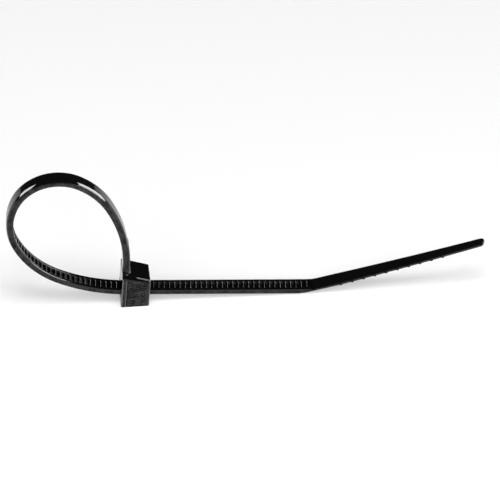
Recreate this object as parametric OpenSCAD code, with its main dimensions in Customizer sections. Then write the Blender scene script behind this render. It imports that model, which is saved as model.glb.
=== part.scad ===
// Self-locking strap tie, already looped through its own head, in millimetres, +Z up.
// The tie is one moulding: toothed strap, head with slot and pawl, thin tapered tail.
// It is described in a strap frame (X along the straight run, Z = 0 on the toothed face,
// X = 0 where the strap leaves the head upwards) and then tilted until the head's drafted
// base and the underside of the tail bend both lie on Z = 0.

/* [Strap] */
// Width of the strap
strap_width = 2.5; // [2.4:0.05:2.7]
// Full thickness of the strap over its two rails
strap_thickness = 1.03; // [0.95:0.02:1.09]
// Width of each plain rail beside the teeth
rail_width = 0.5; // [0.4:0.02:0.6]
// Depth of the toothed channel between the rails
channel_depth = 0.4; // [0.34:0.02:0.44]
// Radius of the long edges on the smooth outer face
outer_edge_radius = 0.28; // [0.18:0.02:0.34]
// Radius of the long edges on the rails
rail_edge_radius = 0.12; // [0.06:0.02:0.16]
// Length of the straight run, from the slot to the tail bend
straight_length = 25.25; // [20:0.25:34]

/* [Teeth] */
// Distance from one tooth to the next
tooth_pitch = 0.79; // [0.7:0.01:0.95]
// Drop of the tooth crests below the rails
crest_drop = 0.06; // [0.02:0.01:0.12]

/* [Loop] */
// Size of the loop against the looped tie described here
loop_scale = 1; // [0.9:0.05:1.5]

/* [Tail] */
// Upward bend between the straight run and the tail
tail_bend = 16.8; // [12:0.2:22]
// Length of the smooth tail beyond the bend
tail_length = 27.05; // [20:0.05:34]
// Width of the tail just behind its round tip
tail_tip_width = 1.46; // [1.2:0.02:1.8]
// Thickness of the tail at its tip
tail_tip_thickness = 0.72; // [0.6:0.02:0.76]
// Number of grip steps under the tail
grip_steps = 10; // [4:1:11]
// Height of each grip step
grip_height = 0.18; // [0.06:0.02:0.2]

/* [Head] */
// Width of the head across the strap
head_width = 4.58; // [4.4:0.02:5]
// Length of the head along the slot
head_length = 4.21; // [4.1:0.02:4.6]
// Top of the head above the toothed face, at the root
head_top = 3.51; // [3.35:0.02:3.95]
// Gap left all round the strap in the slot
slot_gap = 0.1; // [0.08:0.01:0.14]

/* [Hidden] */

half_width = strap_width / 2;
half_channel = half_width - rail_width;
floor_z = channel_depth;

// Loop: radius of the toothed face and turn in degrees, from the slot upwards
loop_arcs = [[24.4, 24], [13.2, 38], [8.5, 52.5], [6.2, 92], [10.3, 31], [19.7, 21.5], [19.7, 11]];
toothed_arcs = 5;
teeth_stop = 0.2;
teeth_run_out = 1.7;
shelf_run_out = 2.5;
shelf_back = 0.35;
loop_start_x = 0.85;
root_depth = 0.7;
root_pad = 0.07;
collar_half = 0.04;
collar_grow = 0.004;
fillet_size = 0.38;
fillet_steps = 5;

// Tail bend and tail
bend_radius = 6.4;
tail_curve_radius = 620;
tail_turn = tail_length / tail_curve_radius * 180 / PI;
taper_start = 4.3;
tip_flat = 0.03;
tip_radius = tail_tip_width / 2 - tip_flat;
tip_corner_steps = 6;
tip_bevel = [0.35, 0.3];
grip_start = 4.45;
grip_pitch = 1.74;
grip_rise = 0.42;
grip_fall = 0.2;
grip_to_tip = 1.6;
tail_stations = 12;
tail_lead = 0.25;
rail_inset = 0.03;
rail_lap = 0.3;
rail_run_out = 1.4;
rail_steps = 10;

// Head, in the strap frame
head_entry_x = -0.06;
head_exit_x = head_entry_x + head_length;
half_head = head_width / 2;
corner_round = 0.6;
corner_steps = 4;
exit_half = half_head - 0.09;
exit_chamfer = 0.16;
ridge_half = 1.93;
side_top = 2.74;
top_slope = 15.4;
side_slope = 10;
entry_edge = 0.14;
base_edge = 0.1;
seam_x = 0.66;
seam_width = 0.05;
seam_height = 0.03;

// Slot, pawl chamber and pawl, in the strap frame
slot_roof = 0.14;
slot_floor = -strap_thickness - slot_gap;
slot_half = half_width + slot_gap;
mouth_flare = 0.26;
side_flare = 0.13;
mouth_depth = 0.3;
chamber_half = 0.98;
chamber_x = 0.98;
chamber_roof_in = 1.95;
chamber_roof_out = 1.8;
pawl_half = half_channel - 0.07;
pawl_gap = 0.05;
pawl_lift = 0.02;
pawl_hold = 0.3;
pawl_root_low = 0.42;
pawl_root_high = 1.32;
pawl_belly = [0.3, 0.34];
pawl_nose = [[0, 0.2], [0.2, 0.5], [0.12, 0.98]];
pawl_shoulder = [0.9, 1.2];

// Tilt that lays the head's base and the bend on the ground together
tilt = 3.2;
bend_x = loop_start_x + straight_length;
bend_outer = bend_radius + strap_thickness;
ground = bend_radius * cos(tilt) - bend_x * sin(tilt) - bend_outer;
function base_z(x) = (ground + x * sin(tilt)) / cos(tilt);
head_mid_x = (head_entry_x + head_exit_x) / 2;
origin_x = head_mid_x * cos(tilt) + base_z(head_mid_x) * sin(tilt);

far = 20;
skin = 0.01;

// Loop geometry: every arc starts at [x, z, heading] and turns clockwise
function arc_radius(i) = loop_arcs[i][0] * loop_scale;
function arc_turn(i) = loop_arcs[i][1];
function arc_length(i) = arc_radius(i) * arc_turn(i) * PI / 180;
function arc_centre(i) = let (p = arc_start(i))
    [p[0] + arc_radius(i) * sin(p[2]), p[1] - arc_radius(i) * cos(p[2])];
function arc_start(i) = i == 0 ? [loop_start_x, 0, 180]
    : let (c = arc_centre(i - 1), h = arc_start(i - 1)[2] - arc_turn(i - 1), r = arc_radius(i - 1))
        [c[0] - r * sin(h), c[1] + r * cos(h), h];
function run_before(i) = i == 0 ? 0 : run_before(i - 1) + arc_length(i - 1);
function arc_at(s, i = 0) = i == len(loop_arcs) - 1 || s < run_before(i + 1) ? i : arc_at(s, i + 1);

// Point [x, z] at run s along the toothed face and depth d into the strap;
// s < 0 lies on the straight run, s > 0 on the loop
function strap_point(s, d) = s <= 0 ? [loop_start_x - s, -d]
    : let (i = arc_at(s), c = arc_centre(i), r = arc_radius(i),
           h = arc_start(i)[2] - (s - run_before(i)) / r * 180 / PI)
        [c[0] - (r + d) * sin(h), c[1] + (r + d) * cos(h)];

loop_end = arc_start(len(loop_arcs));

// Rounded corner between two directions, as points
function corner(cx, cy, r, a0, a1, n) =
    [for (k = [0 : n]) let (a = a0 + (a1 - a0) * k / n) [cx + r * cos(a), cy + r * sin(a)]];
function flip(points) = [for (k = [len(points) - 1 : -1 : 0]) [points[k][0], -points[k][1]]];

// Half of a cross-section: X is the depth into the strap plus an inner radius r,
// Y runs across, t is the thickness and g grows every face outwards
function back_edge(r, t, g) = let (e = outer_edge_radius)
    corner(r + t + g - e, half_width + g - e, e, 0, 90, 4);
function rail_edge(r, g) = let (e = rail_edge_radius)
    corner(r - g + e, half_width + g - e, e, 90, 180, 2);
function full_half(r, t, g) = concat(back_edge(r, t, g), rail_edge(r, g));
function channel_half(r, g) = concat(full_half(r, strap_thickness, g),
    [[r - g, half_channel - g], [r + floor_z - g, half_channel - g]]);
function plate_half(r, g) = concat(back_edge(r, strap_thickness, g),
    [[r + floor_z - g, half_width + g]]);

module section(half) {
    polygon(concat(half, flip(half)));
}

// Frame at [x, z, heading]: X into the strap, Z along the heading
module place(p) {
    translate([p[0], 0, p[1]])
        rotate([0, 90 - p[2], 0])
            rotate([0, 0, 180])
                children();
}

// Collar a hair larger than the strap, closing the joint between two lengths of it
module collar(p, half) {
    place(p)
        translate([0, 0, -collar_half])
            linear_extrude(2 * collar_half)
                section(half);
}

// Sweep of a section about the axis Y through [x, z], from one angle over a turn
module sweep(centre, from, turn) {
    translate([centre[0], 0, centre[1]])
        rotate([90, 0, 0])
            rotate([0, 0, from])
                rotate_extrude(angle = turn, $fn = 180)
                    children();
}

function loop_thickness(i) = strap_thickness + (i == len(loop_arcs) - 1 ? root_pad : 0);
function loop_half(i, r, g) = i < toothed_arcs ? channel_half(r, g) : full_half(r, loop_thickness(i), g);

module loop_strap() {
    for (i = [0 : len(loop_arcs) - 1]) {
        sweep(arc_centre(i), arc_start(i)[2] + 90 - arc_turn(i), arc_turn(i))
            section(loop_half(i, arc_radius(i), 0));
        collar(arc_start(i), loop_half(max(i - 1, 0), 0, collar_grow));
    }
}

// The last of the loop goes straight down into the head, with a fillet at its foot
module root() {
    last = len(loop_arcs) - 1;
    collar(loop_end, loop_half(last, 0, collar_grow));
    place(loop_end)
        linear_extrude(loop_end[1] - head_top + root_depth)
            section(loop_half(last, 0, 0));
    outer_x = loop_end[0] + loop_thickness(last);
    foot_z = head_top - root_depth;
    fall = tan(top_slope) * (outer_x + fillet_size - head_entry_x);
    along_y(half_width - outer_edge_radius)
        polygon(concat(
            [[outer_x - strap_thickness / 2, foot_z], [outer_x + fillet_size, foot_z]],
            [for (k = [0 : fillet_steps]) let (a = 90 * k / fillet_steps)
                [outer_x - skin + (fillet_size + skin) * (1 - sin(a)),
                 head_top - 2 * skin - fall * cos(a) + fillet_size * (1 - cos(a))]],
            [[outer_x - strap_thickness / 2, head_top + fillet_size]]));
}

// Extrusion across the strap of a shape drawn in X and Z
module along_y(half) {
    translate([0, half, 0])
        rotate([90, 0, 0])
            linear_extrude(2 * half)
                children();
}

module straight_strap() {
    place([bend_x, 0, 180])
        linear_extrude(straight_length)
            section(channel_half(0, 0));
}

// Ratchet teeth as one rack: steep flank towards the loop, ramp towards the tail;
// behind the last flank, in the bend, a shelf closes the channel
tooth_start = 0.02;
tooth_ramp_end = 0.76;
tooth_crest_end = 0.9;
tooth_root_end = 0.985;
teeth_first = -floor((straight_length + teeth_run_out) / tooth_pitch) - 1;
teeth_last = floor((run_before(toothed_arcs) - teeth_stop) / tooth_pitch) - 1;
rack_root = floor_z - skin;
rack_back = (floor_z + strap_thickness) / 2;

module rack() {
    along_y(half_channel + rail_width / 3)
        polygon(concat(
            [strap_point(-straight_length - shelf_run_out, shelf_back),
             strap_point(-straight_length - shelf_run_out, crest_drop)],
            [for (k = [teeth_first : teeth_last], c = [(k == teeth_first ? 2 : 0) : 3])
                strap_point((k + [tooth_start, tooth_ramp_end, tooth_crest_end, tooth_root_end][c]) * tooth_pitch,
                    [rack_root, crest_drop, crest_drop, rack_root][c])],
            [for (k = [teeth_last + 1 : -1 : teeth_first + 2])
                strap_point(k * tooth_pitch, rack_back)]));
}

// Bend: the plate curves up, and the rails curve up with it and run out on it
bend_length = bend_radius * tail_bend * PI / 180;
rail_end = bend_length + rail_run_out;
function plate_point(u, d) = u > bend_length ? tail_point(u - bend_length, d)
    : let (a = max(u, 0) / bend_radius * 180 / PI)
        [bend_x + min(u, 0) + (bend_radius + d) * sin(a), bend_radius - (bend_radius + d) * cos(a)];
function rail_depth(u) = let (t = max(u - rail_lap, 0) / (rail_end - rail_lap))
    skin + (channel_depth + rail_inset) * t * t * (3 - 2 * t);

module bend() {
    sweep([bend_x, bend_radius], -90, tail_bend)
        section(plate_half(bend_radius, 0));
    collar([bend_x, 0, 180], plate_half(0, collar_grow));
    for (side = [-1, 1])
        translate([0, side * (half_channel + (rail_width - rail_inset) / 2), 0])
            along_y((rail_width - rail_inset) / 2)
                polygon(concat(
                    [for (k = [-1 : rail_steps]) let (u = k < 0 ? -rail_lap : rail_end * k / rail_steps)
                        plate_point(u, rail_depth(u))],
                    [for (k = [rail_steps : -1 : -1]) plate_point(k < 0 ? -rail_lap : rail_end * k / rail_steps, rack_back)]));
}

// Tail: side profile with grip steps, cut by a plan that tapers to a round tip
tail_start = [bend_x + bend_radius * sin(tail_bend), bend_radius * (1 - cos(tail_bend))];
function tail_point(s, d) = let (h = tail_bend + s / tail_curve_radius * 180 / PI,
    r = tail_curve_radius)
    [tail_start[0] + r * (sin(h) - sin(tail_bend)) + d * sin(h),
     tail_start[1] + r * (cos(tail_bend) - cos(h)) - d * cos(h)];
function tail_outer(s) = let (end = channel_depth + tail_tip_thickness)
    end + (strap_thickness - end) * max(1 - s / grip_start, 0);
function tail_half(s) = s < taper_start ? half_width
    : half_width - (half_width - tail_tip_width / 2) * (s - taper_start) / (tail_length - taper_start);

module tail() {
    grips = min(grip_steps, floor((tail_length - grip_start - grip_to_tip) / grip_pitch) + 1);
    intersection() {
        along_y(half_width - skin)
            polygon(concat(
                [for (k = [0 : tail_stations]) let (s = -tail_lead + (tail_length + tail_lead) * k / tail_stations)
                    tail_point(s, channel_depth + skin)],
                [tail_point(tail_length, tail_outer(tail_length) - tip_bevel[1]),
                 tail_point(tail_length - tip_bevel[0], tail_outer(tail_length))],
                [for (k = [grips - 1 : -1 : 0], c = [0 : 2])
                    let (s = grip_start + k * grip_pitch + [grip_rise + grip_fall, grip_rise, 0][c])
                    tail_point(s, tail_outer(s) + [0, grip_height, 0][c])],
                [tail_point(0, strap_thickness), tail_point(-tail_lead, strap_thickness)]));
        translate([tail_start[0], 0, tail_start[1]])
            rotate([0, -tail_bend - tail_turn / 2, 0])
                translate([0, 0, -far / 2])
                    linear_extrude(far)
                        polygon(concat(
                            [[-2, -half_width], [taper_start, -half_width]],
                            corner(tail_length - tip_radius, -tail_half(tail_length) + tip_radius,
                                tip_radius, -90, 0, tip_corner_steps),
                            corner(tail_length - tip_radius, tail_half(tail_length) - tip_radius,
                                tip_radius, 0, 90, tip_corner_steps),
                            [[taper_start, half_width], [-2, half_width]]));
    }
}

// Head: plan, side profile and bevelled cross-section share one block
function plan_side() = concat(
    corner(head_entry_x + corner_round, half_head - corner_round, corner_round, 180, 90, corner_steps),
    [[head_exit_x - exit_chamfer, exit_half], [head_exit_x, exit_half - exit_chamfer]]);

module head_block() {
    top_exit = head_top - tan(top_slope) * head_length;
    intersection() {
        translate([0, 0, -far / 2])
            linear_extrude(far)
                polygon(concat(plan_side(), flip(plan_side())));
        along_y(far / 2)
            polygon([
                [head_entry_x, base_z(head_entry_x) + base_edge],
                [head_entry_x + base_edge, base_z(head_entry_x + base_edge)],
                [head_exit_x - base_edge, base_z(head_exit_x - base_edge)],
                [head_exit_x, base_z(head_exit_x) + base_edge],
                [head_exit_x, top_exit - exit_chamfer],
                [head_exit_x - exit_chamfer, top_exit + tan(top_slope) * exit_chamfer],
                [head_entry_x + entry_edge, head_top - tan(top_slope) * entry_edge],
                [head_entry_x, head_top - entry_edge]]);
        head_bevels(0);
    }
}

// Bevels of both top edges: a flat one runs along the falling ridge of the top face and a
// steep one along the side edge, which falls less
module head_bevels(proud) {
    reach = half_head - ridge_half;
    ridge_z = head_top - tan(top_slope) * corner_round;
    exit_z = head_top - tan(top_slope) * head_length;
    side_exit_z = side_top - tan(side_slope) * (head_length - corner_round);
    intersection() {
        bevel(side_top + proud, (ridge_z - side_top) / reach, side_slope, half_head + proud);
        bevel(ridge_z - (exit_z - side_exit_z) + proud, (exit_z - side_exit_z) / reach, top_slope, half_head + proud);
    }
}

// Long block under two sloping planes that meet over the middle; z is the height of its edges
// behind the round front corners, and it falls along its length
module bevel(z, rise, slope, half) {
    translate([head_entry_x + corner_round, 0, z])
        rotate([0, slope, 0])
            translate([-far / 2, 0, 0])
                rotate([90, 0, 90])
                    linear_extrude(far)
                        polygon([[-half, -far / 2], [half, -far / 2], [half, 0],
                            [0, half * rise * cos(slope)], [-half, 0]]);
}

// Mould seam around the widest section of the head
module head_seam() {
    intersection() {
        translate([seam_x - seam_width / 2, -half_head - seam_height, base_z(seam_x) + base_edge])
            cube([seam_width, head_width + 2 * seam_height,
                head_top - tan(top_slope) * seam_x - base_z(seam_x) - base_edge]);
        head_bevels(seam_height);
    }
}

// Slot with a flared mouth, and the pawl chamber open to the exit
mouth_x = head_entry_x + mouth_depth;
function passage_side() = [
    [head_entry_x - 2, slot_half + side_flare], [head_entry_x, slot_half + side_flare],
    [mouth_x, slot_half], [head_exit_x + 2, slot_half]];

module slot() {
    intersection() {
        along_y(slot_half + mouth_flare)
            polygon([
                [head_entry_x - 1, slot_floor - mouth_flare], [head_entry_x, slot_floor - mouth_flare],
                [mouth_x, slot_floor], [head_exit_x + 1, slot_floor],
                [head_exit_x + 1, slot_roof], [mouth_x, slot_roof],
                [head_entry_x, slot_roof + mouth_flare], [head_entry_x - 1, slot_roof + mouth_flare]]);
        translate([0, 0, -far / 2])
            linear_extrude(far)
                polygon(concat(passage_side(), flip(passage_side())));
    }
    along_y(chamber_half)
        polygon([
            [chamber_x, -skin], [head_exit_x + 1, -skin], [head_exit_x + 1, chamber_roof_out],
            [chamber_x + 0.35, chamber_roof_in], [chamber_x, chamber_roof_in - 0.35]]);
}

// Pawl: a tongue from the mouth wall whose two teeth sit in the rack, clear of it
function pawl_tooth(m) = let (x = loop_start_x + m * tooth_pitch)
    [[x + tooth_pitch * (1 - tooth_crest_end) + 2 * pawl_gap, pawl_lift - crest_drop + pawl_gap],
     [x + tooth_pitch * tooth_crest_end, -rack_root + pawl_gap + pawl_lift],
     [x + tooth_pitch * (tooth_crest_end + 0.04), pawl_lift]];

module pawl() {
    tip_x = loop_start_x + 3 * tooth_pitch + 0.12;
    along_y(pawl_half)
        polygon(concat(
            [[chamber_x - pawl_hold, pawl_root_low], [chamber_x + pawl_belly[0], pawl_belly[1]],
             [loop_start_x + tooth_pitch + 0.1, 0.12]],
            pawl_tooth(1),
            pawl_tooth(2),
            [for (q = pawl_nose) [tip_x + q[0], q[1]]],
            [[chamber_x + pawl_shoulder[0], pawl_shoulder[1]],
             [chamber_x, pawl_root_high], [chamber_x - pawl_hold, pawl_root_high]]));
}

module cable_tie() {
    color([0.03, 0.03, 0.035])
        translate([-origin_x, 0, -ground])
            rotate([0, tilt, 0]) {
                difference() {
                    union() {
                        head_block();
                        head_seam();
                    }
                    slot();
                }
                pawl();
                root();
                loop_strap();
                straight_strap();
                rack();
                bend();
                tail();
            }
}

cable_tie();
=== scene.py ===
"""Cable tie looped through its own head: one black nylon moulding on a white table."""

import math

import bpy
import numpy as np
from mathutils import Matrix, Vector


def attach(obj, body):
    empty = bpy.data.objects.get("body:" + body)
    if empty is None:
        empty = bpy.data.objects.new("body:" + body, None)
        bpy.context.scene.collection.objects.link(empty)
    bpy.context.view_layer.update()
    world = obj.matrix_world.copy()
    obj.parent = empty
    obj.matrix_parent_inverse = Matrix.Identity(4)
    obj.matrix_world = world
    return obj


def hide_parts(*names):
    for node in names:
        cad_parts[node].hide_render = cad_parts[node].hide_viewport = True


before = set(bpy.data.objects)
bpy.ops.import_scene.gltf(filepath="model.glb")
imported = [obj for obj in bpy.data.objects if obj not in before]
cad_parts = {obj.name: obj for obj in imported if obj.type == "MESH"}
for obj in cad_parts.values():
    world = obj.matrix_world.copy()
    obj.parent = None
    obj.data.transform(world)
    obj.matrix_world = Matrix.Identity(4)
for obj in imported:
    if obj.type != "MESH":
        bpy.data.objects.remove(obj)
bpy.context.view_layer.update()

# Strap frame, in millimetres: X along the straight run, Z = 0 on the toothed face
MM = 0.001
TILT = math.radians(3.2)
WIDTH = 2.5
THICKNESS = 1.03
RAIL = 0.5
CHANNEL = 0.4
STRAIGHT = 25.25
SLOT_X = 0.85
BEND_RADIUS = 6.4
BEND_TURN = 16.8
TAIL_RADIUS = 620.0
TAIL_LENGTH = 27.05

# Loop from the slot upwards: radius of the toothed face and turn in degrees
LOOP_ARCS = ((24.4, 24), (13.2, 38), (8.5, 52.5), (6.2, 92), (10.3, 31), (19.7, 21.5), (19.7, 11))
TOOTHED_ARCS = 5
ROOT_LENGTH = 1.6
ROOT_FILLET = 0.38
ROOT_SIDE_FILLET = 0.1
ROOT_SWELL = 0.07

HEAD_ENTRY = -0.06
HEAD_LENGTH = 4.21
HEAD_WIDTH = 4.58
HEAD_TOP = 3.51
TOP_FALL = math.tan(math.radians(15.4))

BEND_X = SLOT_X + STRAIGHT
GROUND = BEND_RADIUS * math.cos(TILT) - BEND_X * math.sin(TILT) - (BEND_RADIUS + THICKNESS)


def base_z(x):
    """Height of the head's base, which lies on the table when the tie is laid down."""
    return (GROUND + x * math.sin(TILT)) / math.cos(TILT)


HEAD_MID = HEAD_ENTRY + HEAD_LENGTH / 2
ORIGIN_X = HEAD_MID * math.cos(TILT) + base_z(HEAD_MID) * math.sin(TILT)


def lay_down(x, y, z):
    """Strap frame in millimetres to the table in metres: a turn by the tilt about Y, then a shift."""
    x, y, z = np.broadcast_arrays(x, y, z)
    table_x = x * math.cos(TILT) + z * math.sin(TILT) - ORIGIN_X
    table_z = -x * math.sin(TILT) + z * math.cos(TILT) - GROUND
    return np.stack([table_x, y, table_z], -1) * MM


# Spine of the strap from the tip of the tail to the root, as lengths and curvatures
ARC_RADII = np.array([radius for radius, _ in LOOP_ARCS])
ARC_LENGTHS = ARC_RADII * np.radians([turn for _, turn in LOOP_ARCS])
BEND_LENGTH = BEND_RADIUS * math.radians(BEND_TURN)
LENGTHS = np.concatenate([[TAIL_LENGTH, BEND_LENGTH, STRAIGHT], ARC_LENGTHS, [ROOT_LENGTH]])
CURVES = np.concatenate([[1 / TAIL_RADIUS, 1 / BEND_RADIUS, 0], 1 / ARC_RADII, [0]])
STARTS = np.concatenate([[0], np.cumsum(LENGTHS)])
TAIL_END, BEND_END, SLOT_RUN = STARTS[1:4]
HEADINGS = np.pi - np.concatenate([[0], np.cumsum(CURVES * LENGTHS)])
HEADINGS += np.pi - HEADINGS[3]
STEPS = LENGTHS * np.sinc(CURVES * LENGTHS / (2 * np.pi))
MIDS = HEADINGS[:-1] - CURVES * LENGTHS / 2
CHORDS = STEPS[:, None] * np.stack([np.cos(MIDS), np.sin(MIDS)], -1)
CORNERS = np.concatenate([[[0, 0]], np.cumsum(CHORDS, 0)])
CORNERS += np.array([SLOT_X, 0]) - CORNERS[3]
TEETH_END = STARTS[3 + TOOTHED_ARCS]
ROOT_PAD_RUN = STARTS[9]
ROOT_RUN, STRAP_END = STARTS[-2:]
ROOT_X, ROOT_Z = CORNERS[-2]

# How far the head's sloping top has fallen where the root's outer fillet meets it
ROOT_FALL = TOP_FALL * (ROOT_X + THICKNESS + ROOT_SWELL + ROOT_FILLET - HEAD_ENTRY)


def spine(run):
    """Point and depth direction at a run along the toothed face.

    Every stretch is an arc: the chord of the arc so far, laid at its mean heading, is added to
    the arc's start, and the depth direction is the heading turned left.
    """
    i = np.clip(np.searchsorted(STARTS, run, side="right") - 1, 0, len(LENGTHS) - 1)
    t = run - STARTS[i]
    turn = CURVES[i] * t
    chord = t * np.sinc(turn / (2 * np.pi))
    mid = HEADINGS[i] - turn / 2
    heading = HEADINGS[i] - turn
    x = CORNERS[i, 0] + chord * np.cos(mid)
    z = CORNERS[i, 1] + chord * np.sin(mid)
    return x, z, -np.sin(heading), np.cos(heading)


def add_piece(name, points, faces, material, satin, painted_light):
    """A mesh piece on the one rigid body, smooth except along edges sharper than 38 degrees.

    satin and the painted light values go with its vertices, one value for each, for the nylon to read: a
    painted highlight above 0 and painted shade below 0.
    """
    mesh = bpy.data.meshes.new(name)
    mesh.from_pydata(points, [], faces)
    for layer, values in (("satin", satin), ("painted_light", painted_light)):
        mesh.attributes.new(layer, "FLOAT", "POINT").data.foreach_set("value", values.astype(np.float32))
    mesh.polygons.foreach_set("use_smooth", np.ones(len(mesh.polygons), bool))
    mesh.set_sharp_from_angle(angle=math.radians(38))
    mesh.materials.append(material)
    mesh.update()
    piece = bpy.data.objects.new(name, mesh)
    bpy.context.scene.collection.objects.link(piece)
    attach(piece, "root")
    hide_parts("cable_tie")


def quads(rows, columns, wrap_rows=False):
    """Faces of a grid that closes round its columns, and round its rows too if asked."""
    i = np.arange(rows if wrap_rows else rows - 1)[:, None]
    j = np.arange(columns)[None, :]
    below = i * columns
    above = (i + 1) % rows * columns
    ahead = (j + 1) % columns
    return np.stack([below + j, below + ahead, above + ahead, above + j], -1).reshape(-1, 4)


def closed_tube(grid):
    """Vertices and faces of rings joined in a row, with a fan to a middle point over each end."""
    rows, columns = grid.shape[:2]
    body = quads(rows, columns)
    j = np.arange(columns)
    ahead = (j + 1) % columns
    first = rows * columns
    low = np.stack([np.full(columns, first), ahead, j], -1)
    high = np.stack([np.full(columns, first + 1), first - columns + j, first - columns + ahead], -1)
    points = np.concatenate([grid.reshape(-1, 3), grid[:1].mean(1), grid[-1:].mean(1)])
    return points, body.tolist() + low.tolist() + high.tolist()


def quarter(u, radius):
    """How far a rounded edge of that radius falls back at a distance u from its end."""
    left = np.clip(radius - u, 0, radius)
    return radius - np.sqrt(radius**2 - left**2)


def smooth_step(x, low, high):
    """0 below low, 1 above high, an S between."""
    t = np.clip((x - low) / (high - low), 0, 1)
    return t * t * (3 - 2 * t)


# Teeth: fractions of a pitch, from the foot of the ramp to the foot of the steep flank, and of the height
PITCH = 0.79
CREST_DROP = 0.06
TOOTH_AT = np.array([0.0, 0.02, 0.06, 0.7, 0.735, 0.77, 0.8, 0.849, 0.89, 0.917, 0.926, 0.962, 0.972, 0.986])
TOOTH_UP = np.array([0.0, 0.0, 0.045, 0.965, 0.995, 1.0, 1.0, 0.978, 0.914, 0.818, 0.731, 0.1, 0.03, 0.0])
FIRST_TOOTH = -35
LAST_TOOTH = 52
FIRST_CREST = FIRST_TOOTH + 0.88

# The crests wave a little across the channel, and the rest of each tooth doesn't
TOOTH_SWAY = 0.045
SWAY_AT = [0.0, 0.74, 0.8, 0.93, 0.986, 1.0]
SWAY_SHARE = [0.0, 0.0, 1.0, 1.0, 0.0, 0.0]

# Grip steps: distance along a pitch from the bend, and share of the height
GRIP_START = 4.45
GRIP_PITCH = 1.74
GRIP_COUNT = 10
GRIP_HEIGHT = 0.18
GRIP_AT = [0, 0.06, 0.36, 0.41, 0.45, 0.56, 0.62, GRIP_PITCH]
GRIP_UP = [0, 0.1, 0.9, 1.0, 0.9, 0.1, 0, 0]

# Tail: taper, thickening behind the bend, round and blunt tip, bevel under the tip
TAPER_START = 4.3
TIP_HALF = 0.73
TAIL_SWELL = 0.09
TIP_ROUND = 0.7
TIP_BLUNT = 0.12
TIP_BEVEL = 0.4
TIP_BEVEL_RUN = 0.65

# Rails: where they start to sink in the bend, and how far behind it they are gone
RAIL_SINK = 0.3
RAIL_GONE = BEND_LENGTH + 1.4


def strap_runs():
    """Runs at which the strap gets a ring: dense at the tip, the grip steps, the teeth and the root."""
    tip = 0.6 * (1 - np.cos(np.linspace(0, np.pi / 2, 10)))
    tail = np.arange(0.7, TAIL_LENGTH, 0.4)
    grip = GRIP_START + GRIP_PITCH * np.arange(GRIP_COUNT)[:, None]
    grip = grip + np.array([-0.06, 0.0, 0.06, 0.2, 0.36, 0.41, 0.45, 0.56, 0.62, 0.68])
    grip = TAIL_LENGTH - grip.ravel()
    bend = np.arange(TAIL_END - 0.6, BEND_END, 0.11)
    teeth = np.arange(FIRST_TOOTH, LAST_TOOTH + 1)[:, None] + TOOTH_AT
    teeth = SLOT_RUN + teeth.ravel() * PITCH
    gate = TEETH_END + np.array([-0.2, -0.05, -0.03, 0.0, 0.03, 0.05])
    plain = np.arange(TEETH_END + 0.2, STRAP_END, 0.22)
    pad = ROOT_PAD_RUN + np.linspace(-0.08, 0.08, 5)
    root = np.linspace(ROOT_RUN - 0.1, STRAP_END, 12)
    foot = ROOT_RUN + ROOT_Z - (HEAD_TOP - ROOT_FALL)
    fillet = foot - ROOT_FILLET * (1 - np.sin(np.linspace(0, np.pi / 2, 14)))
    runs = np.unique(np.concatenate([tip, tail, grip, bend, teeth, gate, plain, pad, root, fillet]).round(4))
    return runs[np.concatenate([[True], np.diff(runs) > 0.004])]


def along_teeth(run):
    """Teeth passed since the slot, and the part of the present one that is behind."""
    beat = (run - SLOT_RUN) / PITCH
    return beat, beat - np.floor(beat)


def strap_form(run):
    """Half-width, rail depth, floor depth and outer depth at every run.

    The rails sink into the plate in an S over the bend. A tooth lifts the floor towards the
    crest. The tail narrows evenly, carries the grip steps and is bevelled at its tip.
    """
    behind = np.clip(TAIL_END - run, 0, None)
    taper = np.clip(behind - TAPER_START, 0, None) / (TAIL_LENGTH - TAPER_START)
    half = WIDTH / 2 - (WIDTH / 2 - TIP_HALF) * taper - quarter(run, TIP_ROUND)
    rail = CHANNEL * smooth_step(BEND_END - run, RAIL_SINK, RAIL_GONE)
    crest = np.minimum(rail + CREST_DROP, CHANNEL)
    beat, part = along_teeth(run)
    up = np.interp(part, np.append(TOOTH_AT, 1.0), np.append(TOOTH_UP, 0.0))
    up = np.where(beat < FIRST_CREST, 1.0, up)
    up = np.where(beat > LAST_TOOTH + 1, 0.0, up)
    floor = CHANNEL + (crest - CHANNEL) * up
    floor = np.where(behind > 0.5, CHANNEL, floor)
    plain = smooth_step(run, TEETH_END - 0.05, TEETH_END + 0.05)
    floor = floor * (1 - plain) + rail * plain
    outer = THICKNESS + TAIL_SWELL * np.clip(behind / GRIP_START, 0, 1)
    grip = behind - GRIP_START
    step = GRIP_HEIGHT * np.interp(np.mod(grip, GRIP_PITCH), GRIP_AT, GRIP_UP)
    outer = outer + np.where((grip > 0) & (grip < GRIP_PITCH * GRIP_COUNT), step, 0)
    outer = outer + ROOT_SWELL * smooth_step(run, ROOT_PAD_RUN - 0.06, ROOT_PAD_RUN + 0.06)
    outer = outer - TIP_BEVEL * np.clip(1 - run / TIP_BEVEL_RUN, 0, 1) ** 1.5
    return half, rail, floor, outer


# Half a section, as columns: channel floor 0 to 6, rail wall and top to 10, rail edge to 15,
# parting line to 20, outer edge to 28, outer face to 31
FLOOR_COLUMNS = 7
PARTING_START = 16
PARTING_COLUMN = 18
OUTER_FACE_START = 27
HALF_COLUMNS = 32
COLUMNS = 2 * HALF_COLUMNS - 2
PARTING = 0.016
DRAFT = 0.03
RAIL_EDGE = 0.12
TAIL_EDGE = 0.3
OUTER_EDGE = 0.28
OUTER_CROWN = 0.52


def root_spread(run, z):
    """How far the root's outer fillet spreads at a height z, a quarter circle down to the head's top."""
    return np.where(run > ROOT_RUN - 0.2, quarter(z - (HEAD_TOP - ROOT_FALL), ROOT_FILLET), 0)


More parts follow.
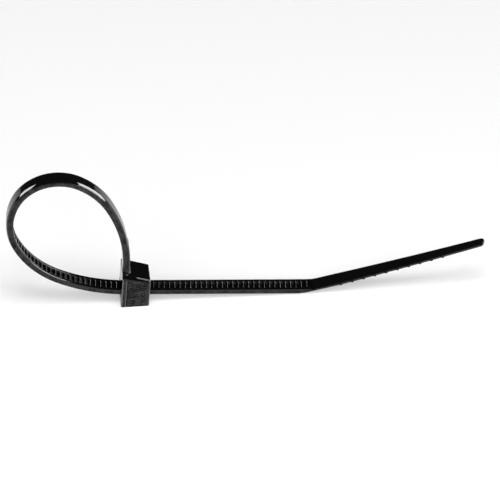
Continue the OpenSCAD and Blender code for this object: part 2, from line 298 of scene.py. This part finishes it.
def strap_rings(run):
    """Rings of the strap: half a section as (across, depth) columns, mirrored, set along the spine.

    Edges are quarter circles in steps of an angle. On the narrow tail the channel's columns
    crowd together inside the rounded edge. Where there are teeth, a point in the channel moves
    along the strap by the sway times the sine of its place across, times the tooth's share.
    """
    half, rail, floor, outer = strap_form(run)
    x, z, depth_x, depth_z = spine(run)
    blunt = quarter(run, TIP_BLUNT)
    outer = outer + root_spread(run, z) - blunt
    half = half + np.where(run > ROOT_RUN - 0.2, quarter(z - HEAD_TOP, ROOT_SIDE_FILLET), 0)
    rail = rail + blunt
    floor = np.maximum(floor, rail)
    shrink = half / (WIDTH / 2)
    wall = (WIDTH / 2 - RAIL) * shrink
    gap = floor - rail
    room = (outer - rail) / 2
    inner = RAIL_EDGE + (TAIL_EDGE - RAIL_EDGE) * smooth_step(BEND_END - run, 0.5, RAIL_GONE)
    inner_r = np.minimum(inner, room * 0.84)
    outer_r = np.minimum(OUTER_EDGE, room * 0.84)
    edge = half - DRAFT * shrink
    crown = np.minimum(OUTER_CROWN, edge * 0.6)
    middle = (rail + outer) / 2
    across = [half * 0, wall * 0.25, wall * 0.5, wall * 0.75]
    depth = [floor, floor, floor, floor]
    across += [wall - 0.1 * shrink, wall - 0.045 * shrink, wall - 0.022 * shrink]
    depth += [floor, floor - 0.03 * gap, floor - 0.16 * gap]
    across += [wall - 0.012 * shrink, wall + 0.008 * shrink, wall + 0.045 * shrink, wall + 0.14 * shrink]
    depth += [rail + 0.13 * gap, rail + 0.03 * gap, rail, rail]
    across = [np.minimum(a, (edge - inner_r) * (0.88 + 0.01 * k)) for k, a in enumerate(across)]
    for a in np.radians([0, 22.5, 45, 67.5, 90]):
        across.append(edge - inner_r + inner_r * math.sin(a))
        depth.append(rail + inner_r - inner_r * math.cos(a))
    for t, proud in ((-0.075, -0.003), (-0.03, 0.0), (0.0, PARTING), (0.03, 0.0), (0.075, -0.003)):
        across.append(half + proud * shrink)
        depth.append(middle + t * room * 2)
    for a in np.radians([0, 15, 30, 45, 60, 70, 80, 90]):
        across.append(edge - crown + crown * math.cos(a))
        depth.append(outer - outer_r + outer_r * math.sin(a))
    across += [edge - crown * 1.06, edge * 0.3, half * 0]
    depth += [outer, outer, outer]
    across = np.stack(across, 1)
    depth = np.stack(depth, 1)
    across = np.concatenate([across, -across[:, -2:0:-1]], 1)
    depth = np.concatenate([depth, depth[:, -2:0:-1]], 1)
    toothed = ((run > TAIL_END) & (run < TEETH_END))[:, None] & (np.abs(across) < WIDTH / 2 - RAIL)
    share = np.interp(along_teeth(run)[1], SWAY_AT, SWAY_SHARE)[:, None]
    sway = np.where(toothed, TOOTH_SWAY * share * np.sin(2 * np.pi * across / (WIDTH - 2 * RAIL)), 0)
    depth_x, depth_z = depth_x[:, None], depth_z[:, None]
    return lay_down(x[:, None] + depth * depth_x - sway * depth_z, across,
                    z[:, None] + depth * depth_z + sway * depth_x)


def strap_satin_and_painted_light(run):
    """Satin on the two sides of the strap, and painted highlights and painted shade on its teeth, parting
    line and root.

    Above 0 is a painted highlight, a light line, as on the crests and the foot of the root,
    and below 0 is painted shade, where the gloss is taken away to darken, as on the ramps between the crests.
    """
    column = np.arange(COLUMNS)
    fold = np.minimum(column, COLUMNS - column)
    side = (fold >= PARTING_START) & (fold <= PARTING_START + 5)
    satin = np.broadcast_to(1.4 * side, (len(run), COLUMNS))
    beat, part = along_teeth(run)
    toothed = (beat > FIRST_TOOTH) & (beat < LAST_TOOTH + 1)
    # painted highlight on the crests, painted shade on the ramps between them
    crest = np.where((part > 0.83) & (part < 0.921), 1.0, -1.0) * toothed
    spread = root_spread(run, spine(run)[1])
    # painted highlight and shade of the teeth in the channel; painted highlight on the outer face at the foot
    # of the root; painted shade on the sides at the root; a painted highlight on the parting line and painted
    # shade on the line beside it
    painted_light = crest[:, None] * (fold < FLOOR_COLUMNS)
    painted_light = painted_light + ((spread > 0.6 * ROOT_FILLET)[:, None] & (fold >= OUTER_FACE_START))
    painted_light = painted_light - ((spread > 0.05 * ROOT_FILLET)[:, None] & side)
    painted_light = painted_light + 0.25 * (fold == PARTING_COLUMN) - 0.5 * (fold == PARTING_COLUMN + 2)
    return satin, painted_light


def softened(corners, reach, points):
    """Polygons whose corners become parabolas between points a reach before and after each corner.

    A point a little outside each end keeps the flats between them flat. corners is
    (rings, corners, 2); the result is (rings, corners * (points + 2), 2).
    """
    back = np.roll(corners, 1, axis=1) - corners
    ahead = np.roll(corners, -1, axis=1) - corners
    back_length = np.linalg.norm(back, axis=2, keepdims=True)
    ahead_length = np.linalg.norm(ahead, axis=2, keepdims=True)
    reach = np.asarray(reach, float)[None, :, None]
    a = corners + back / back_length * np.minimum(reach, back_length * 0.45)
    b = corners + ahead / ahead_length * np.minimum(reach, ahead_length * 0.45)
    t = np.linspace(0, 1, points)[None, None, :, None]
    curve = (1 - t) ** 2 * a[:, :, None] + 2 * t * (1 - t) * corners[:, :, None] + t**2 * b[:, :, None]
    before = a + (a - corners) * 0.1
    after = b + (b - corners) * 0.1
    curve = np.concatenate([before[:, :, None], curve, after[:, :, None]], 2)
    return curve.reshape(len(corners), -1, 2)


# Outside of the head
CORNER = 0.25
EXIT_CORNER = 0.18
SIDE_START = 0.6
SIDE_DRAFT = 0.09
SIDE_TOP = 2.74
SIDE_FALL = math.tan(math.radians(10))
RIDGE_HALF = 1.93
OUTSIDE_REACH = [0.12, 0.12, 0.02, 0.14, 0.12, 0.12, 0.14, 0.02]

# Mould seam: a low ridge with a groove behind it, measured from the head's entry
SEAM_T = 0.72
SEAM_LINES = SEAM_T + np.array([-0.14, -0.1, -0.02, 0.02, 0.06, 0.16, 0.2])
SEAM_PROUD = [0, 0.03, 0.03, -0.02, -0.05, -0.05, 0]

# Slot and pawl chamber
SLOT_ROOF = 0.14
SLOT_FLOOR = -THICKNESS - 0.1
SLOT_HALF = WIDTH / 2 + 0.1
MOUTH = 0.3
MOUTH_RISE = 0.26
MOUTH_SPREAD = 0.13
CHAMBER_X = 0.98
CHAMBER_HALF = 0.98
CHAMBER_TOP = 1.95
CHAMBER_RAMP = 0.35
CHAMBER_FALL = 0.15 / 2.82
INSIDE_REACH = [0.05, 0.05, 0.04, 0.03, 0.06, 0.06, 0.03, 0.04]


def ring_of_eight(half, low, wall, knee_half, knee, top_half, top):
    """Corners of one section seen along the slot: base, walls up to the knees, then the top."""
    y = np.stack([-half, half, half, knee_half, top_half, -top_half, -knee_half, -half], 1)
    z = np.stack([low, low, wall, knee, top, top, knee, wall], 1)
    return np.stack([y, z], 2)


def head_outside():
    """Distances from the entry and rings of the head's outside, from mouth to exit.

    The plan is a rectangle with round front corners and a slight draft, the top falls towards
    the exit, and a 45 degree bevel falls faster. The seam stands proud of the sides and top.
    """
    quarter_turn = 1 - np.cos(np.linspace(0, np.pi / 2, 10))
    front = np.concatenate([CORNER * quarter_turn, 0.16 * quarter_turn, [0.3, 0.5]])
    middle = np.arange(0.8, HEAD_LENGTH - 0.3, 0.3)
    back = HEAD_LENGTH - EXIT_CORNER * (1 - np.cos(np.linspace(0, np.pi / 2, 8)))
    t = np.unique(np.concatenate([front, SEAM_LINES, middle, back]).round(4))
    to_exit = HEAD_LENGTH - t
    proud = np.interp(t, SEAM_LINES, SEAM_PROUD)
    draft = SIDE_DRAFT * np.clip(t - SIDE_START, 0, None) / (HEAD_LENGTH - SIDE_START)
    half = HEAD_WIDTH / 2 - draft + proud - quarter(t, CORNER) - quarter(to_exit, EXIT_CORNER)
    top = HEAD_TOP - TOP_FALL * t - quarter(t, 0.14) - quarter(to_exit, 0.16) + proud
    low = base_z(HEAD_ENTRY + t) + quarter(t, 0.12) + quarter(to_exit, 0.12)
    knee = np.minimum(SIDE_TOP - SIDE_FALL * (t - SIDE_START) + proud, top - 0.02)
    top_half = RIDGE_HALF - np.clip(RIDGE_HALF - half + 0.08, 0, None) + proud
    corners = ring_of_eight(half, low, low * 0 + 0.2, half, knee, top_half, top)
    return t, softened(corners, OUTSIDE_REACH, 6)


def head_inside():
    """Distances from the entry and rings of the slot and chamber, from exit back to mouth.

    The slot flares at the mouth and opens upwards into the chamber, whose roof climbs at 45
    degrees and then falls gently towards the exit.
    """
    mouth = np.array([0.0, 0.02, 0.05, 0.1, 0.2, 0.3])
    chamber = CHAMBER_X - HEAD_ENTRY + np.array([-0.02, 0.0, 0.01, 0.18, 0.35, 0.5])
    rest = np.linspace(1.7, HEAD_LENGTH - 0.2, 8)
    out = HEAD_LENGTH - np.array([0.08, 0.04, 0.015, 0.0])
    t = np.concatenate([mouth, chamber, rest, out])[::-1]
    into = HEAD_ENTRY + t - CHAMBER_X
    flare = np.clip(1 - t / MOUTH, 0, 1)
    lip = quarter(t, 0.05) + quarter(HEAD_LENGTH - t, 0.08)
    roof = SLOT_ROOF + MOUTH_RISE * flare + lip
    low = SLOT_FLOOR - MOUTH_RISE * flare - lip
    half = SLOT_HALF + MOUTH_SPREAD * flare + lip
    knee_half = CHAMBER_HALF + lip
    past = into - CHAMBER_RAMP
    arch = CHAMBER_TOP - np.clip(-past, 0, None) - CHAMBER_FALL * np.clip(past, 0, None)
    top = np.where(into > 0.005, arch + lip, roof)
    corners = ring_of_eight(half, low, roof - 0.002, knee_half, roof, knee_half - 0.02, top)
    return t, softened(corners, INSIDE_REACH, 6)


# Columns of the head's rings, eight to a corner: the top face, and the ridges on either side of it
TOP_COLUMNS = (27, 53)
RIDGE_COLUMNS = ((33, 37), (42, 46))


def head_satin_and_painted_light(t, columns):
    """Satin on the head's sides, painted highlight lines and painted shade in a groove at distances t from
    the entry.

    The entry and exit edges, the seam and the lower part of the ridges get a painted highlight, and the
    groove beside the seam gets painted shade, which takes its gloss away.
    """
    column = np.arange(columns)
    side = (column < TOP_COLUMNS[0]) | (column > TOP_COLUMNS[1])
    ridge = np.any([(column >= low) & (column <= high) for low, high in RIDGE_COLUMNS], axis=0)
    satin = ((t > 0.22) & (t < HEAD_LENGTH - 0.2))[:, None] & side
    # painted highlights on the entry edge and on the seam's ridge
    painted_light = 0.7 * ((t > 0.049) & (t < 0.17)) + 0.6 * ((t > SEAM_T - 0.12) & (t < SEAM_T - 0.01))
    # painted shade in the groove behind the seam
    painted_light = painted_light - 1.0 * ((t > SEAM_T + 0.05) & (t < SEAM_T + 0.17))
    # painted highlight on the exit edge
    painted_light = painted_light + 1.0 * ((t > HEAD_LENGTH - 0.1) & (t < HEAD_LENGTH - 0.004))
    # painted highlight along the lower part of the ridges
    painted_ridge_highlight = 0.8 * ((t > 2.0) & (t < HEAD_LENGTH - 0.3))
    return satin.astype(float), painted_light[:, None] * side + painted_ridge_highlight[:, None] * ridge


def pawl_rings():
    """Side profile of the pawl, drawn in the strap frame, carried straight across the channel."""
    first = SLOT_X + PITCH
    tip = SLOT_X + 3 * PITCH + 0.12
    profile = [[CHAMBER_X - 0.3, 0.42], [CHAMBER_X + 0.3, 0.34], [first + 0.1, 0.12]]
    for at in (first, first + PITCH):
        profile += [[at + 0.179, 0.01], [at + 0.711, -0.32], [at + 0.743, 0.02]]
    profile += [[tip, 0.2], [tip + 0.2, 0.5], [tip + 0.12, 0.98], [CHAMBER_X + 0.9, 1.2]]
    profile += [[CHAMBER_X, 1.32], [CHAMBER_X - 0.3, 1.32]]
    profile = softened(np.array([profile]), [0.03] * len(profile), 4)[0]
    half = WIDTH / 2 - RAIL - 0.07
    across = np.array([-half, -half + 0.03, half - 0.03, half])
    middle = profile.mean(0)
    tuck = np.array([0.97, 1.0, 1.0, 0.97])[:, None, None]
    sides = middle + (profile[None] - middle) * tuck
    return lay_down(sides[:, :, 0], across[:, None], sides[:, :, 1])


class Wire:
    """A value, colour or shader running through a node tree: arithmetic on it adds Math nodes."""

    def __init__(self, finish, socket):
        self.finish = finish
        self.socket = socket

    def math(self, operation, *values):
        return self.finish.wire("ShaderNodeMath", {"operation": operation}, dict(enumerate(values)))

    def __add__(self, other):
        return self.math("ADD", self, other)

    def __radd__(self, other):
        return self.math("ADD", other, self)

    def __sub__(self, other):
        return self.math("SUBTRACT", self, other)

    def __rsub__(self, other):
        return self.math("SUBTRACT", other, self)

    def __mul__(self, other):
        return self.math("MULTIPLY", self, other)

    def __rmul__(self, other):
        return self.math("MULTIPLY", other, self)

    def between(self, low, high, start=0.0, end=1.0):
        """This value from low to high, carried to start to end and held there."""
        values = {"Value": self, "From Min": low, "From Max": high, "To Min": start, "To Max": end}
        return self.finish.wire("ShaderNodeMapRange", {"clamp": True}, values)


class Finish:
    """The node tree of a material or world; every node in it comes from node()."""

    def __init__(self, owner):
        owner.use_nodes = True
        self.owner = owner
        self.tree = owner.node_tree
        self.tree.nodes.clear()

    def node(self, kind, settings=None, values=None):
        made = self.tree.nodes.new(kind)
        for key, value in (settings or {}).items():
            setattr(made, key, value)
        for key, value in (values or {}).items():
            if isinstance(value, Wire):
                self.tree.links.new(value.socket, made.inputs[key])
            else:
                made.inputs[key].default_value = value
        return made

    def wire(self, kind, settings=None, values=None, output=0):
        return Wire(self, self.node(kind, settings, values).outputs[output])

    def mix(self, factor, first, second):
        """Colour that goes from first to second."""
        return self.wire("ShaderNodeMix", {"data_type": "RGBA"}, {0: factor, 6: first, 7: second}, output=2)

    def rays(self):
        """1 for what the camera sees, and 1 for what is seen in gloss or through glass."""
        path = self.node("ShaderNodeLightPath").outputs
        seen = Wire(self, path["Is Camera Ray"])
        mirrored = Wire(self, path["Is Glossy Ray"]) + Wire(self, path["Is Transmission Ray"])
        return seen, mirrored


# Nylon: black of the polished faces, of the satin sides, and the grey of painted highlight lines
POLISHED_BLACK = (0.002, 0.002, 0.0022, 1)
SATIN_BLACK = (0.012, 0.012, 0.012, 1)
PAINTED_HIGHLIGHT_GREY = (0.15, 0.15, 0.152, 1)
NYLON_IOR = 1.52
FLOW_LOW = 0.38
FLOW_HIGH = 0.6


def black_nylon():
    """Moulded black nylon: polished broad faces, satin sides mottled by flow marks.

    flow is a sum of soft blotches, fine grain and crooked rings round a point in the head's
    near side, which fade out a few millimetres from it. It makes the satin duller in places
    and raises it slightly. A painted light value above 0 greys a line as a painted highlight, and below 0
    takes its gloss away as painted shade.
    """
    f = Finish(bpy.data.materials.new("black nylon"))
    place = f.wire("ShaderNodeTexCoord", output=3)
    satin = f.wire("ShaderNodeAttribute", {"attribute_name": "satin"}, output=2)
    painted_light = f.wire("ShaderNodeAttribute", {"attribute_name": "painted_light"}, output=2)
    # painted highlight where the painted light value is above 0, painted shade where it is below 0
    painted_highlight = painted_light.between(0.0, 1.0)
    painted_shade = painted_light.between(0.0, -1.0)
    millimetres = f.wire("ShaderNodeMapping", {"vector_type": "POINT"},
                         {"Vector": place, "Scale": (1000, 1000, 1000)})
    blotch = f.wire("ShaderNodeTexNoise", {"noise_dimensions": "3D"},
                    {"Vector": millimetres, "Scale": 0.9, "Detail": 4.0, "Roughness": 0.6, "Distortion": 1.2})
    grain = f.wire("ShaderNodeTexNoise", {"noise_dimensions": "3D"},
                   {"Vector": millimetres, "Scale": 6.0, "Detail": 3.0, "Roughness": 0.6})
    from_middle = f.wire("ShaderNodeMapping", {"vector_type": "POINT"},
                         {"Vector": millimetres, "Location": (-0.3, 2.3, -2.2)})
    crooked = {"Vector": from_middle, "Scale": 0.6, "Distortion": 14.0, "Detail": 3.0, "Detail Scale": 0.8}
    spherical = {"wave_type": "RINGS", "rings_direction": "SPHERICAL"}
    rings = f.wire("ShaderNodeTexWave", spherical, crooked, output=1)
    reach = f.wire("ShaderNodeVectorMath", {"operation": "LENGTH"}, {0: from_middle}, output=1)
    swirl = rings * reach.between(2.2, 3.4, 1.0, 0.0) + 0.5 * reach.between(2.2, 3.4)
    flow = 0.68 * blotch + 0.2 * grain + 0.12 * swirl
    # matt where the satin is dull, and matt under painted shade, which takes the gloss away to darken
    matt_and_painted_shade = flow.between(FLOW_LOW, FLOW_HIGH, 1.0, 0.25) * satin * (1 - painted_shade) + painted_shade
    colour = f.mix(flow.between(FLOW_LOW, FLOW_HIGH) * satin, POLISHED_BLACK, SATIN_BLACK)
    # painted highlight: the line turns grey
    colour = f.mix(painted_highlight, colour, PAINTED_HIGHLIGHT_GREY)
    rough = 0.07 + 0.27 * satin + 0.2 * painted_highlight + (grain - 0.5) * 0.03
    height = flow * 0.03 * satin + grain * (0.002 + 0.006 * satin)
    bump = f.wire("ShaderNodeBump", {}, {"Height": height, "Strength": 1.0, "Distance": MM})
    surface = {"Base Color": colour, "Roughness": rough, "Normal": bump, "IOR": NYLON_IOR}
    polished = f.wire("ShaderNodeBsdfPrincipled", {}, {**surface, "Specular IOR Level": 0.5})
    matt = f.wire("ShaderNodeBsdfPrincipled", {}, {**surface, "Specular IOR Level": 0.08})
    nylon = f.wire("ShaderNodeMixShader", {}, {0: matt_and_painted_shade, 1: polished, 2: matt})
    f.node("ShaderNodeOutputMaterial", {}, {0: nylon})
    return f.owner


def mould_tie():
    """The one moulding in three closed meshes: strap, head and pawl."""
    nylon = black_nylon()

    runs = strap_runs()
    points, faces = closed_tube(strap_rings(runs))
    # the strap's satin, and its painted highlights and painted shade
    satin, painted_light = (np.append(layer.ravel(), [0, 0]) for layer in strap_satin_and_painted_light(runs))
    add_piece("toothed_strap", points, faces, nylon, satin, painted_light)

    out_t, outside = head_outside()
    in_t, inside = head_inside()
    t = np.concatenate([out_t, in_t])
    rings = np.concatenate([outside, inside])
    points = lay_down(HEAD_ENTRY + t[:, None], rings[:, :, 0], rings[:, :, 1]).reshape(-1, 3)
    faces = quads(rings.shape[0], rings.shape[1], wrap_rows=True).tolist()
    # the head's satin, and its painted highlights and painted shade
    satin, painted_light = head_satin_and_painted_light(t, rings.shape[1])
    add_piece("head", points, faces, nylon, satin.ravel(), painted_light.ravel())

    points, faces = closed_tube(pawl_rings())
    add_piece("pawl", points, faces, nylon, np.ones(len(points)), np.zeros(len(points)))


TABLE_RADIUS = 1.5
TABLE_COLOUR = (0.65, 0.65, 0.65, 1)
TABLE_GLOW = 0.36
ROOM_LEVEL = 0.03
WHITE = (1, 1, 1, 1)


def white_table():
    """A round plain table top that keeps the shadow of the tie and looks white to the camera."""
    angle = np.linspace(0, 2 * np.pi, 96, endpoint=False)
    points = np.stack([TABLE_RADIUS * np.cos(angle), TABLE_RADIUS * np.sin(angle), angle * 0], 1)
    mesh = bpy.data.meshes.new("table")
    mesh.from_pydata(points, [], [list(range(len(points)))])
    f = Finish(bpy.data.materials.new("white table"))
    seen, mirrored = f.rays()
    paper = f.wire("ShaderNodeBsdfDiffuse", {}, {"Color": TABLE_COLOUR})
    glow = f.wire("ShaderNodeEmission", {}, {"Color": WHITE, "Strength": TABLE_GLOW})
    glowing = f.wire("ShaderNodeAddShader", {}, {0: paper, 1: glow})
    top = f.wire("ShaderNodeMixShader", {}, {0: seen + mirrored, 1: paper, 2: glowing})
    f.node("ShaderNodeOutputMaterial", {}, {0: top})
    mesh.materials.append(f.owner)
    table = bpy.data.objects.new("table", mesh)
    bpy.context.scene.collection.objects.link(table)


def studio():
    """A dim room over a white horizon, which stands lower in reflections than behind the table."""
    f = Finish(bpy.data.worlds.new("room"))
    bpy.context.scene.world = f.owner
    direction = f.wire("ShaderNodeTexCoord", output=0)
    height = f.wire("ShaderNodeSeparateXYZ", {}, {0: direction}, output=2)
    seen, mirrored = f.rays()
    horizon = height.between(0.07, 0.12, 1.0, 0.0) * seen + height.between(0.0, 0.02, 1.0, 0.0) * mirrored
    dim = f.wire("ShaderNodeBackground", {}, {"Color": WHITE, "Strength": ROOM_LEVEL})
    white = f.wire("ShaderNodeBackground", {}, {"Color": WHITE, "Strength": 1.0})
    room = f.wire("ShaderNodeMixShader", {}, {0: horizon, 1: dim, 2: white})
    f.node("ShaderNodeOutputWorld", {}, {0: room})


VIEW_CENTRE = Vector((17, 0, 8))


def soft_box(name, azimuth, elevation, distance, width, height, radiance, in_mirror=True):
    """A flat lamp at an azimuth and elevation in degrees round the tie, facing it.

    Azimuth runs from the back (+Y) towards the right (+X). Distance, width and height are in
    millimetres; a radiance of 1 is white. A lamp either shows in the gloss or lights the matt.
    """
    lamp = bpy.data.lights.new(name, "AREA")
    lamp.shape = "RECTANGLE"
    lamp.size = width * MM
    lamp.size_y = height * MM
    lamp.energy = radiance * math.pi * lamp.size * lamp.size_y
    stand = bpy.data.objects.new(name, lamp)
    bpy.context.scene.collection.objects.link(stand)
    a, e = math.radians(azimuth), math.radians(elevation)
    away = Vector((math.sin(a) * math.cos(e), math.cos(a) * math.cos(e), math.sin(e)))
    stand.location = (VIEW_CENTRE + away * distance) * MM
    stand.rotation_euler = away.to_track_quat("Z", "Y").to_euler()
    stand.visible_glossy = in_mirror
    stand.visible_diffuse = not in_mirror


def photograph_camera():
    """Camera at the photograph's azimuth, elevation and small roll, aimed at one point in millimetres."""
    azimuth, elevation, roll = np.radians([-6.630, 38.259, 1.360])
    target = np.array([17.245, 0.0, 7.920])
    distance = 497.28
    back = np.array([math.sin(azimuth) * math.cos(elevation), -math.cos(azimuth) * math.cos(elevation),
                     math.sin(elevation)])
    level = np.array([math.cos(azimuth), math.sin(azimuth), 0])
    upright = np.cross(back, level)
    right = level * math.cos(roll) + upright * math.sin(roll)
    up = np.cross(back, right)
    camera = bpy.data.cameras.new("camera")
    camera.sensor_width = 36
    camera.lens = 242.2
    camera.clip_start = 0.01
    camera.clip_end = 10
    stand = bpy.data.objects.new("camera", camera)
    bpy.context.scene.collection.objects.link(stand)
    turn = Matrix(np.stack([right, up, back], 1).tolist()).to_4x4()
    stand.matrix_world = Matrix.Translation(Vector(target + back * distance) * MM) @ turn
    bpy.context.scene.camera = stand


mould_tie()
white_table()
studio()

# Two boxes that show as streaks on the loop, and three that only light matt surfaces and the table
soft_box("right_box", 88, 28, 400, 620, 300, 13.5)
soft_box("left_box", -80, 28.5, 400, 465, 200, 12.5)
soft_box("right_fill", 135, 28, 400, 600, 300, 2.3, in_mirror=False)
soft_box("left_fill", -135, 28, 400, 600, 300, 2.3, in_mirror=False)
soft_box("overhead", 180, 76, 500, 240, 240, 7.6, in_mirror=False)

photograph_camera()
bpy.context.scene.view_settings.view_transform = "Standard"
